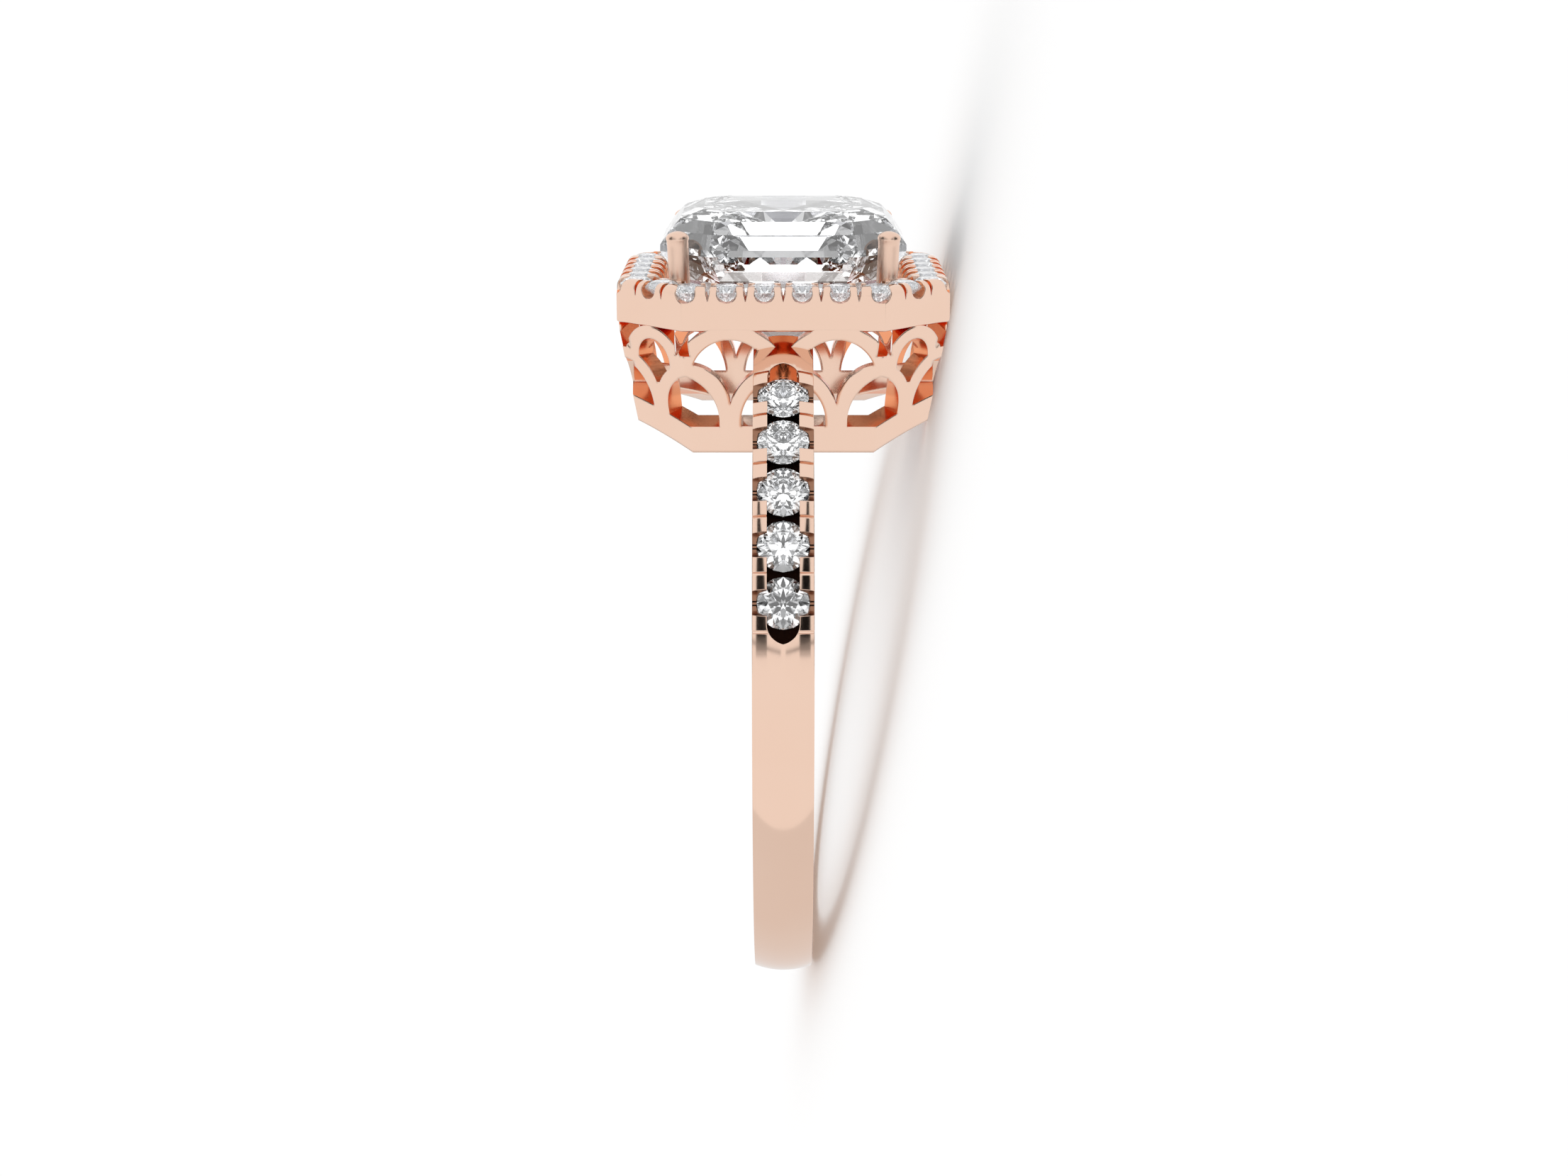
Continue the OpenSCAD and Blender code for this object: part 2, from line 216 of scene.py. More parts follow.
def stacked(rings, steps, turn=0.0):
    """A disc of so many sides, drawn upwards through rings of (radius, height)."""
    radius, height = rings[0]
    bpy.ops.mesh.primitive_circle_add(
        vertices=steps, radius=radius * MM, fill_type="NGON",
        location=(0, 0, height * MM), rotation=(0, 0, turn))
    obj = settle(bpy.context.object)
    bpy.ops.object.mode_set(mode="EDIT")
    bpy.ops.mesh.select_all(action="SELECT")
    for next_radius, next_height in rings[1:]:
        bpy.ops.mesh.extrude_region_move(
            TRANSFORM_OT_translate={"value": (0, 0, (next_height - height) * MM)})
        share = next_radius / radius
        bpy.ops.transform.resize(
            value=(share, share, 1), center_override=(0, 0, next_height * MM))
        radius, height = next_radius, next_height
    bpy.ops.mesh.select_all(action="SELECT")
    bpy.ops.mesh.normals_make_consistent(inside=False)
    bpy.ops.object.mode_set(mode="OBJECT")
    return obj


def eight_walled(layers):
    """A block with four sides and four cut corners, from (side, corner, height) layers."""
    square = stacked([(side * math.sqrt(2), z) for side, _, z in layers], 4, math.pi / 4)
    diamond_shape = stacked([(corner * math.sqrt(2), z) for _, corner, z in layers], 4)
    return combine(square, diamond_shape, "INTERSECT")


def along_finger(radius, length=20.0, steps=RING_STEPS):
    """A cylinder on the finger's axis."""
    bpy.ops.mesh.primitive_cylinder_add(
        vertices=steps, radius=radius * MM, depth=length * MM, rotation=(0, math.pi / 2, 0))
    return settle(bpy.context.object)


def block(low, high):
    """A box from its lowest to its highest corner."""
    size = [(b - a) * MM for a, b in zip(low, high)]
    middle = [(a + b) / 2 * MM for a, b in zip(low, high)]
    bpy.ops.mesh.primitive_cube_add(size=1, location=middle)
    bpy.context.object.scale = size
    return settle(bpy.context.object)


def disc(s, z, radius, depth, steps=ARCH_STEPS):
    """A round punch through a wall that faces the lens, at s along the wall and height z."""
    bpy.ops.mesh.primitive_cylinder_add(
        vertices=steps, radius=radius * MM, depth=depth * MM,
        location=(s * MM, 0, z * MM), rotation=(math.pi / 2, 0, 0))
    return settle(bpy.context.object)


def arch_radius(half, rise):
    """Radius of an arc over a chord of half width half."""
    return (half ** 2 + rise ** 2) / (2 * rise)


def pointed_arch(s, z, half, rise, down, depth):
    """A punch with a pointed arch that springs at height z and runs down below it."""
    radius = arch_radius(rise, half)
    arch = disc(s + half - radius, z, radius, depth)
    combine(arch, disc(s - half + radius, z, radius, depth), "INTERSECT")
    above = block((s - half - 1, -depth, z), (s + half + 1, depth, z + rise + 1))
    combine(arch, above, "INTERSECT")
    legs = block((s - half, -depth / 2, z - down), (s + half, depth / 2, z + 1e-4))
    return combine(arch, legs, "UNION")


def rounding(radius, steps):
    """(inset, rise) of the points of a quarter round, from the wall to the top."""
    turns = [math.pi / 2 * i / steps for i in range(1, steps + 1)]
    return [(radius * (1 - math.cos(t)), radius * math.sin(t)) for t in turns]


def round_z(degrees):
    return Matrix.Rotation(math.radians(degrees), 4, "Z")


def round_x(degrees):
    return Matrix.Rotation(math.radians(degrees), 4, "X")


def moved(x, y, z):
    return Matrix.Translation((x * MM, y * MM, z * MM))


def finished(obj, name, materials, smooth_angle=32, finish_and_shade_at=lambda place, normal: POLISHED):
    """Closes a piece's mesh, gives each face the finish or painted shade at its place, lays the
    piece down and hands it to the frame."""
    only(obj)
    bpy.ops.object.mode_set(mode="EDIT")
    bpy.ops.mesh.select_all(action="SELECT")
    bpy.ops.mesh.remove_doubles(threshold=1e-7)
    bpy.ops.mesh.normals_make_consistent(inside=False)
    bpy.ops.object.mode_set(mode="OBJECT")
    obj.data.materials.clear()
    for material in materials:
        obj.data.materials.append(material)
    for face in obj.data.polygons:
        face.material_index = finish_and_shade_at(face.center / MM, face.normal)
    settle(obj, LAY_DOWN)
    bpy.ops.object.shade_smooth_by_angle(angle=math.radians(smooth_angle))
    weights = obj.modifiers.new("weighted normals", "WEIGHTED_NORMAL")
    weights.keep_sharp = True
    bpy.ops.object.modifier_apply(modifier=weights.name)
    obj.name = obj.data.name = name
    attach(obj, "root")
    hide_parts("ring_mount")
    return obj


# ---------------------------------------------------------------- stone places

def seat(diameter):
    """Room for a round stone, open above its table, from below the culet up."""
    above_table = 0.3
    r, table_r = diameter / 2 + SEAT_GAP, TABLE_SHARE * diameter / 2 + SEAT_GAP
    top = (GIRDLE_SHARE + CROWN_SHARE) * diameter
    return stacked([
        (0.002, -PAVILION_SHARE * diameter - 2 * SEAT_GAP), (r, -SEAT_GAP),
        (r, GIRDLE_SHARE * diameter + SEAT_GAP),
        (table_r, top + SEAT_GAP), (table_r, top + above_table),
    ], STONE_STEPS)


def on_shank(side, angle, radius):
    """Matrix to a place on a shoulder: z outwards, y up the shank."""
    return (round_z(180 * side) @ moved(0, 0, SHANK_RISE)
            @ round_x(90 - angle) @ moved(0, 0, radius))


def on_shoulders(shape, angles, radius):
    """Copies of a shape at these angles of both shoulders, as one object. Uses the shape up."""
    copies = [copy_of(shape, on_shank(side, angle, radius)) for side in (0, 1) for angle in angles]
    bpy.data.objects.remove(shape)
    return joined(copies)


def halo_places():
    """Matrices of the halo stones, each with how far its notch reaches inwards."""
    end_turn, row_reach, corner_reach = 10, 1.0, 0.0
    places = []
    for quarter in range(4):
        turn = round_z(90 * quarter)
        for i in range(ROW_STONES):
            s = (i - (ROW_STONES - 1) / 2) * HALO_PITCH
            twist = math.copysign(end_turn, s) if i in (0, ROW_STONES - 1) else 0
            places.append((turn @ moved(s, -ROW_AT, 0) @ round_z(twist), row_reach))
        corner = turn @ moved(CORNER_AT, -CORNER_AT, 0) @ round_z(45)
        places.append((corner, corner_reach))
    return places


def groove_places():
    """Matrices of the grooves that part the beads between two halo stones."""
    far, near = (CORNER_AT + ROW_AT) / 2, (CORNER_AT + ROW_END) / 2
    places = []
    for quarter in range(4):
        turn = round_z(90 * quarter)
        places += [turn @ moved(i * HALO_PITCH, -ROW_AT, 0) for i in range(-2, 3)]
        places += [turn @ moved(x, -y, 0) @ round_z(45) for x, y in ((near, far), (far, near))]
    return places


# ---------------------------------------------------------------- materials

def add_node(tree, kind, settings=None, links=None):
    """Adds a node. The keys of settings are attributes or inputs, those of links are inputs."""
    node = tree.nodes.new(kind)
    for key, value in (settings or {}).items():
        if isinstance(key, int) or key in node.inputs:
            node.inputs[key].default_value = value
        else:
            setattr(node, key, value)
    for key, output in (links or {}).items():
        tree.links.new(output, node.inputs[key])
    return node


def new_material(name):
    """An empty material and its node tree."""
    material = bpy.data.materials.new(name)
    material.use_nodes = True
    material.node_tree.nodes.clear()
    return material, material.node_tree


def rose_gold(name, colour, rough, edge):
    """14 carat rose gold, cast and then polished on a felt wheel: a warm mirror. The wheel leaves
    it slightly wavy, uneven in gloss and a touch deeper where it pressed less, and rounds every
    edge a little. Through a stone the metal's colour is painted pale grey: painted light that
    stands in for a well cut stone hiding the colour of its setting."""
    material, tree = new_material(name)
    place = add_node(tree, "ShaderNodeTexCoord")
    # The wheel's waves are about 2.4 mm long, the streaks of its haze about 0.5 mm wide
    wave = add_node(tree, "ShaderNodeTexNoise", {"Scale": 1 / (2.4 * MM), "Detail": 2.0},
                    {"Vector": place.outputs["Object"]})
    haze = add_node(tree, "ShaderNodeTexNoise", {"Scale": 1 / (0.53 * MM), "Detail": 4.0},
                    {"Vector": place.outputs["Object"]})
    gloss = add_node(tree, "ShaderNodeMapRange", {"To Min": rough, "To Max": rough + 0.05},
                     {"Value": haze.outputs["Fac"]})
    rounded = add_node(tree, "ShaderNodeBevel", {"samples": 8, "Radius": edge * MM})
    ripple = add_node(tree, "ShaderNodeBump", {"Strength": 0.05, "Distance": 0.01 * MM},
                      {"Height": wave.outputs["Fac"], "Normal": rounded.outputs["Normal"]})
    pressed_less = [c ** 1.12 for c in colour]
    tone = add_node(tree, "ShaderNodeMix",
                    {"data_type": "RGBA", MIX_A: (*colour, 1), MIX_B: (*pressed_less, 1)},
                    {MIX_FACTOR: wave.outputs["Fac"]})
    # Painted light: after passing through a stone, rays see the metal painted pale grey
    path = add_node(tree, "ShaderNodeLightPath")
    seen = add_node(tree, "ShaderNodeMix",
                    {"data_type": "RGBA", MIX_B: (*linear("#f1f1f3"), 1)},
                    {MIX_FACTOR: path.outputs["Transmission Depth"],
                     MIX_A: tone.outputs[MIX_RESULT]})
    shader = add_node(tree, "ShaderNodeBsdfPrincipled", {"Metallic": 1.0},
                      {"Base Color": seen.outputs[MIX_RESULT],
                       "Roughness": gloss.outputs["Result"],
                       "Normal": ripple.outputs["Normal"]})
    add_node(tree, "ShaderNodeOutputMaterial", links={"Surface": shader.outputs["BSDF"]})
    return material


def diamond(name, tint, painted_glow=0.0):
    """Colourless diamond, cut and polished on an iron wheel: flat mirrors that split the view
    behind them into light and dark pieces. A trace of polishing haze keeps a facet from being
    empty. Melee in closed seats gets a faint painted glow of its own, standing in for what an
    open back would let in."""
    material, tree = new_material(name)
    place = add_node(tree, "ShaderNodeTexCoord")
    # Patches of haze are about 0.4 mm wide
    haze = add_node(tree, "ShaderNodeTexNoise", {"Scale": 1 / (0.4 * MM), "Detail": 3.0},
                    {"Vector": place.outputs["Object"]})
    gloss = add_node(tree, "ShaderNodeMapRange", {"From Min": 0.5, "To Min": 0.0, "To Max": 0.01},
                     {"Value": haze.outputs["Fac"]})
    shader = add_node(tree, "ShaderNodeBsdfPrincipled",
                      {"Base Color": (*tint, 1), "IOR": 2.417, "Transmission Weight": 1.0,
                       "Emission Color": (1, 1, 1, 1), "Emission Strength": painted_glow},
                      {"Roughness": gloss.outputs["Result"]})
    add_node(tree, "ShaderNodeOutputMaterial", links={"Surface": shader.outputs["BSDF"]})
    return material


def painted_shadow_floor(name):
    """Painted shadow for the floor of the channel: rough metal in near black, so that the gaps
    between the stones look black."""
    material, tree = new_material(name)
    place = add_node(tree, "ShaderNodeTexCoord")
    # The grain of the investment mould, about 0.1 mm
    grain = add_node(tree, "ShaderNodeTexNoise", {"Scale": 1 / (0.11 * MM), "Detail": 3.0},
                     {"Vector": place.outputs["Object"]})
    bump = add_node(tree, "ShaderNodeBump", {"Strength": 0.4, "Distance": 0.01 * MM},
                    {"Height": grain.outputs["Fac"]})
    # Near black painted shadow, mottled by the grain
    painted_shadow_tone = add_node(tree, "ShaderNodeMix",
                    {"data_type": "RGBA", MIX_A: (*linear("#140c0a"), 1),
                     MIX_B: (*linear("#2a1812"), 1)},
                    {MIX_FACTOR: grain.outputs["Fac"]})
    shader = add_node(tree, "ShaderNodeBsdfPrincipled", {"Metallic": 1.0, "Roughness": 0.55},
                      {"Base Color": painted_shadow_tone.outputs[MIX_RESULT], "Normal": bump.outputs["Normal"]})
    add_node(tree, "ShaderNodeOutputMaterial", links={"Surface": shader.outputs["BSDF"]})
    return material


def lit_card(name, value):
    """The even tone of a card, from black to white, that the metal mirrors."""
    material, tree = new_material(name)
    shader = add_node(tree, "ShaderNodeEmission", {"Color": (value, value, value, 1)})
    add_node(tree, "ShaderNodeOutputMaterial", links={"Surface": shader.outputs["Emission"]})
    return material


def matt_floor(name, colour):
    """Matt white paper, which only takes the ring's shadow."""
    material, tree = new_material(name)
    shader = add_node(tree, "ShaderNodeBsdfDiffuse", {"Color": (*colour, 1)})
    add_node(tree, "ShaderNodeOutputMaterial", links={"Surface": shader.outputs["BSDF"]})
    return material


def metals(context, finish="polished", rough=0.06, edge=0.05):
    """A piece's rose gold, the channel floor in painted shadow, the painted inter-reflection of
    cut edges and the painted shade of notches, in the order of their slots."""
    made, colour = bpy.data.materials, context.scene.ring_colours.metal[:]
    # Painted inter-reflection on cut edges: metal mirrored again and again keeps its red and loses
    # green and blue
    deeper = [c ** power for c, power in zip(colour, (0.8, 2.1, 2.4))]
    # No wheel reaches into a notch, so it stays dull, and its colour is darkened as painted shade
    # that frames its stone
    dull_and_shaded = [c * c / 2 for c in colour]
    polished, floor = f"{finish}_rose_gold", "painted_shadow_channel_floor"
    cut, notch = "painted_interreflection_rose_gold", "unpolished_shaded_rose_gold"
    return (made.get(polished) or rose_gold(polished, colour, rough, edge),
            made.get(floor) or painted_shadow_floor(floor),
            made.get(cut) or rose_gold(cut, deeper, rough=0.18, edge=0.02),
            made.get(notch) or rose_gold(notch, dull_and_shaded, rough=0.22, edge=0.02))


# ---------------------------------------------------------------- sizes and colours

class RingSizes(bpy.types.PropertyGroup):
    """Sizes of the metal that a user would change."""
    finger_radius: bpy.props.FloatProperty(
        name="Finger radius", description="Inside radius of the shank",
        default=8.25 * MM, unit="LENGTH", precision=5)
    shank_radius: bpy.props.FloatProperty(
        name="Shank radius", description="Outside radius of the shank about its own middle",
        default=10.68 * MM, unit="LENGTH", precision=5)
    shank_width: bpy.props.FloatProperty(
        name="Shank width", description="Width of the shank along the finger",
        default=1.7 * MM, unit="LENGTH", precision=5)
    halo_half: bpy.props.FloatProperty(
        name="Halo half width", description="From the middle to a straight side of the halo",
        default=4.85 * MM, unit="LENGTH", precision=5)
    halo_corner: bpy.props.FloatProperty(
        name="Halo corner", description="From the middle to a cut corner of the halo",
        default=5.48 * MM, unit="LENGTH", precision=5)
    prong_diameter: bpy.props.FloatProperty(
        name="Prong diameter", description="Thickness of the wire of a prong",
        default=0.62 * MM, unit="LENGTH", precision=5)


class RingColours(bpy.types.PropertyGroup):
    """Colours of the metal, the stones and the floor."""
    metal: bpy.props.FloatVectorProperty(
        name="Metal", description="Colour of the polished rose gold", subtype="COLOR",
        default=linear("#edcebb"))
    stone: bpy.props.FloatVectorProperty(
        name="Stone", description="Tint of the diamonds", subtype="COLOR",
        default=linear("#fbfcfd"))
    floor: bpy.props.FloatVectorProperty(
        name="Floor", description="Colour of the floor", subtype="COLOR",
        default=linear("#ffffff"))


# ---------------------------------------------------------------- pieces

class RING_OT_shank(bpy.types.Operator):
    """Models the shank, with the channels and seats of its stones"""
    bl_idname = "ring.shank"
    bl_label = "Shank"

    def execute(self, context):
        sizes = context.scene.ring_sizes
        radius, half_w = sizes.shank_radius / MM, sizes.shank_width / MM / 2
        slices = 20
        across = [half_w * (2 * i / slices - 1) for i in range(slices + 1)]
        shank = stacked(
            [(radius - SHANK_DOME + math.sqrt(SHANK_DOME ** 2 - x ** 2), x) for x in across],
            RING_STEPS)
        settle(shank, moved(0, 0, SHANK_RISE) @ Matrix.Rotation(math.pi / 2, 4, "Y"))
        combine(shank, along_finger(sizes.finger_radius / MM))
        # It stops at the gallery's inner face, and nothing of it crosses the halo's opening
        combine(shank, gallery_shape(-GALLERY_WALL, FOOT_Z - 0.35, HALO_Z + 0.001))
        combine(shank, block((-3, -3.5, HALO_Z - 0.3), (3, 3.5, HALO_Z + 2)))
        self.cut_stones(shank, radius, half_w)
        finished(shank, "shank", metals(context, "crisp", edge=0.03),
                 finish_and_shade_at=self.finish_and_shade_rule(radius))
        return {"FINISHED"}

    def cut_stones(self, shank, radius, half_w):
        """Cuts the channels, notches, grooves, slots and seats of both shoulders."""
        for side in (0, 1):
            combine(shank, self.channel(side, radius))
        groove_half, groove_depth = 0.04, 0.2556
        slot_half, slot_at, slot_depth = 0.018, 0.05, 0.41
        wide = 2 * half_w
        notch = along_finger(NOTCH_RADIUS, 2 * wide, STONE_STEPS)
        groove = block((-wide, -groove_half, -groove_depth), (wide, groove_half, 0.7))
        slots = joined([block((-wide, y - slot_half, -slot_depth), (wide, y + slot_half, 0))
                        for y in (-slot_at, slot_at)])
        between = [angle - ANGLE_STEP / 2 for angle in STONE_ANGLES]
        between.append(STONE_ANGLES[-1] + ANGLE_STEP / 2)
        girdle_r = radius - STONE_SINK - (CROWN_SHARE + GIRDLE_SHARE) * SHANK_STONE
        combine(shank, on_shoulders(notch, STONE_ANGLES, radius))
        combine(shank, on_shoulders(groove, between, radius))
        combine(shank, on_shoulders(slots, STONE_ANGLES, radius))
        combine(shank, on_shoulders(seat(SHANK_STONE), STONE_ANGLES, girdle_r))

    def channel(self, side, radius):
        """The open channel under the stones of a shoulder, with a pointed arch at each end."""
        over, arch_rise, arch_depth = 3.1, 0.55, 2
        low, high = STONE_ANGLES[0] - over, STONE_ANGLES[-1] + over
        half, beyond = 2, 20
        channel = along_finger(radius + 1.5, CHANNEL_WIDTH)
        combine(channel, along_finger(radius - CHANNEL_DEPTH))
        below = block((-half, -beyond, -beyond), (half, beyond, 0))
        above = copy_of(below, round_x(180))
        for angle, part in ((low, below), (high, above)):
            combine(channel, settle(part, round_x(-angle)))
        combine(channel, block((-half, 0, -beyond), (half, beyond, beyond)))
        settle(channel, round_z(180 * side) @ moved(0, 0, SHANK_RISE))
        for angle, turn in ((high, 0), (low, 180)):
            arch = pointed_arch(0, 0, CHANNEL_WIDTH / 2, arch_rise, 0.05, arch_depth)
            settle(arch, round_x(-90) @ moved(0, -arch_depth / 2, 0))
            settle(arch, on_shank(side, angle, radius - CHANNEL_DEPTH) @ round_z(turn))
            combine(channel, arch, "UNION")
        return channel

    def finish_and_shade_rule(self, radius):
        """The finish and painted shade at a place of the shank: the channel's floor is in painted
        shadow below the stones and in painted inter-reflection past them, the notches are dull and
        in painted shade, and their slots in painted shadow."""
        notches = [on_shank(side, angle, radius).inverted()
                   for side in (0, 1) for angle in STONE_ANGLES]
        floor_half, floor_low, floor_high = 0.44, radius - 0.57, radius - 0.5
        slot_half, slot_low, notch_reach = 0.07, 0.5, NOTCH_RADIUS + 0.005
        past_stones = STONE_ANGLES[-1] + 2

        def finish_and_shade_at(place, normal):
            up = place.z - SHANK_RISE
            # Painted shadow on the channel floor below the stones, painted inter-reflection past
            # them
            if abs(place.x) < floor_half and floor_low < math.hypot(place.y, up) < floor_high:
                angle = math.degrees(math.atan2(up, abs(place.y)))
                return PAINTED_INTERREFLECTION if angle > past_stones else PAINTED_SHADOW_FLOOR
            for notch in notches:
                at = notch @ (place * MM) / MM
                # The slots beside each stone get the same near black painted shadow
                if abs(at.y) < slot_half and notch_reach < -at.z < slot_low:
                    return PAINTED_SHADOW_FLOOR
                # Notches are dull and get painted shade
                if math.hypot(at.y, at.z) < notch_reach:
                    return SHADED_NOTCH
            return POLISHED

        return finish_and_shade_at


def gallery_shape(grow, low, high):
    """The leaning block of the gallery between two heights, grown or shrunk by grow."""
    return eight_walled([
        (FOOT_SIDE + SIDE_LEAN * (z - FOOT_Z) + grow,
         FOOT_CORNER + CORNER_LEAN * (z - FOOT_Z) + grow, z)
        for z in (low, high)])


def painted_interreflection_at(place, normal):
    """The finish at a place of an eight-walled piece: whatever is cut across its walls gets a
    painted inter-reflection, deeper in tone than their faces, since it mostly mirrors more metal."""
    turn = round(math.atan2(place.x, -place.y) / (math.pi / 4)) * math.pi / 4
    facing = normal.x * math.sin(turn) - normal.y * math.cos(turn)
    return PAINTED_INTERREFLECTION if abs(facing) < 0.4 else POLISHED


def groove_walls(place, normal):
    """The band's finish at a place: painted inter-reflection on what is cut across its walls, with
    the bead tops as bright as its sides.
    """
    on_bead = normal.z > 0.5 and place.z > BEAD_Z - 0.2
    return POLISHED if on_bead else painted_interreflection_at(place, normal)


class RING_OT_gallery(bpy.types.Operator):
    """Models the pierced gallery under the halo"""
    bl_idname = "ring.gallery"
    bl_label = "Gallery"

    def execute(self, context):
        # From below the rail, whose underside the finger then cuts, to just inside the band
        gallery = gallery_shape(0, FOOT_Z - 0.3, HALO_Z + 0.069)
        combine(gallery, gallery_shape(-GALLERY_WALL, FOOT_Z - 0.4, HALO_Z + 0.3))
        combine(gallery, along_finger(RAIL_INSIDE))
        # Turn of each wall round the stone, its distance from the middle and its openings
        walls = ((0, 4.5, FRONT_WALL), (90, 4.5, SIDE_WALL),
                 (45, 5.15, CORNER_WALL), (135, 5.15, MIRRORED_CORNER_WALL))
        for turn, out, openings in walls:
            punch = self.punch(openings)
            for half_turn in (0, 180):
                tool = copy_of(punch, round_z(turn + half_turn) @ moved(0, -out, 0))
                combine(tool, along_finger(RAIL_OUTSIDE))
                combine(gallery, tool)
            bpy.data.objects.remove(punch)
        finished(gallery, "gallery", metals(context, "soft_edged", edge=0.11), finish_and_shade_at=painted_interreflection_at)
        return {"FINISHED"}

    def punch(self, lace):
        """The punch for one wall's openings: lower arches between piers, an eye over each pier
        and the gaps between the upper arches."""
        band, pier_width, down, spare, depth = 0.36, 0.62, 2, 0.2, 2.5
        gap_half, gap_foot, gap_top = 3.4, 2.9, 0.19
        spans = [min(abs(pier - s) for pier in lace.piers) for s in lace.arches]
        arches = list(zip(lace.arches, spans, lace.crowns))
        cuts = [pointed_arch(s, FOOT_Z + lace.spring, span - pier_width / 2,
                             crown - lace.spring, down, depth)
                for s, span, crown in arches]
        for pier in lace.piers:
            eye = self.crown_disc(pier, lace.eye_radius, lace.eye_crown, depth)
            for s, span, crown in arches:
                outline = arch_radius(span, crown + band - lace.part)
                combine(eye, self.crown_disc(s, outline, crown + band, 2 * depth))
            cuts.append(eye)
        gaps = block((-gap_half, -depth / 2, FOOT_Z + gap_foot),
                     (gap_half, depth / 2, HALO_Z + gap_top))
        for pier in lace.piers:
            combine(gaps, self.crown_disc(pier, lace.upper_radius, lace.upper_crown, 2 * depth))
        punch = joined(cuts + [gaps])
        foot, top = lace.foot + spare, lace.top + spare
        wall = block((-top, -depth, FOOT_Z - 0.5), (top, depth, HALO_Z + 0.3))
        for v in wall.data.vertices:
            if v.co.z < FOOT_Z * MM:
                v.co.x *= foot / top
        return combine(punch, wall, "INTERSECT")

    def crown_disc(self, s, radius, crown, depth):
        """A disc whose top is at a crown above the gallery's foot."""
        return disc(s, FOOT_Z + crown - radius, radius, depth)


class RING_OT_halo_band(bpy.types.Operator):
    """Models the halo's band, with its beads, grooves and stone seats"""
    bl_idname = "ring.halo_band"
    bl_label = "Halo band"

    def execute(self, context):
        sizes = context.scene.ring_sizes
        side, corner = sizes.halo_half / MM, sizes.halo_corner / MM
        band = self.outside(side, corner)
        combine(band, self.opening(side, corner))
        combine(band, self.channel(side, corner))
        self.cut_notches(band)
        self.cut_grooves(band)
        room = seat(HALO_STONE)
        rooms = [copy_of(room, place @ moved(0, 0, HALO_GIRDLE_Z)) for place, _ in halo_places()]
        bpy.data.objects.remove(room)
        combine(band, joined(rooms))
        finished(band, "halo_band", metals(context), finish_and_shade_at=groove_walls)
        return {"FINISHED"}

    def outside(self, side, corner):
        """The band's outside as a block, rounded a little at its foot and well at its top."""
        foot, top = 0.07, 0.26
        layers = [(side - inset, corner - inset, HALO_Z + foot - rise)
                  for inset, rise in reversed(rounding(foot, 4))]
        layers += [(side, corner, HALO_Z + foot), (side, corner, BEAD_Z - top)]
        layers += [(side - inset, corner - inset, BEAD_Z - top + rise)
                   for inset, rise in rounding(top, 8)]
        return eight_walled(layers)

    def opening(self, side, corner):
        """The opening under the centre stone, with a rounded rim."""
        width, rim = 1.3, 0.32
        side, corner = side - width, corner - width
        layers = [(side, corner, HALO_Z - 0.1), (side, corner, BEAD_Z - rim)]
        layers += [(side + inset, corner + inset, BEAD_Z - rim + rise)
                   for inset, rise in rounding(rim, 8)]
        layers.append((side + rim, corner + rim, BEAD_Z + 0.3))
        return eight_walled(layers)

    def channel(self, side, corner):
        """The way between the two rows of beads, in which the stones lie."""
        from_outside, to_inside = 0.36, 0.86
        low, high = BEAD_Z - 0.34, BEAD_Z + 0.4
        channel = eight_walled(
            [(side - from_outside, corner - from_outside, z) for z in (low, high)])
        island = eight_walled(
            [(side - to_inside, corner - to_inside, z) for z in (low - 0.1, high + 0.1)])
        return combine(channel, island)

    def cut_notches(self, band):
        """A notch with a round floor at each stone, from the outside inwards."""
        depth, r, out = 0.46, 0.28, 1.2
        notches = []
        for place, reach in halo_places():
            length, floor_z = reach + out, BEAD_Z + r - depth
            notch = disc(0, floor_z, r, length, STONE_STEPS)
            above = block((-0.98 * r, -length / 2, floor_z), (0.98 * r, length / 2, BEAD_Z + 0.3))
            combine(notch, above, "UNION")
            notches.append(settle(notch, place @ moved(0, (reach - out) / 2, 0)))
        self.cut_in_turn(band, notches)

    def cut_grooves(self, band):
        """A V groove through both rows of beads between each two stones."""
        half_width, height, depth = 0.09, 0.47, 0.42
        bpy.ops.mesh.primitive_cylinder_add(
            vertices=3, radius=0.3 * MM, depth=2.2 * MM, rotation=(-math.pi / 2, 0, 0))
        wedge = settle(bpy.context.object)
        xs, zs = zip(*((v.co.x, v.co.z) for v in wedge.data.vertices))
        stretch = (half_width * MM / max(xs), 1, height * MM / (max(zs) - min(zs)), 1)
        shape = Matrix.Diagonal(stretch) @ Matrix.Translation((0, 0, -min(zs)))
        self.cut_in_turn(band, [copy_of(wedge, place @ moved(0, 0, BEAD_Z - depth) @ shape)
                                for place in groove_places()])
        bpy.data.objects.remove(wedge)

    def cut_in_turn(self, band, tools):
        """Cuts every second tool and then the others, as neighbours may touch."""
        for group in (tools[::2], tools[1::2]):
            combine(band, joined(group))


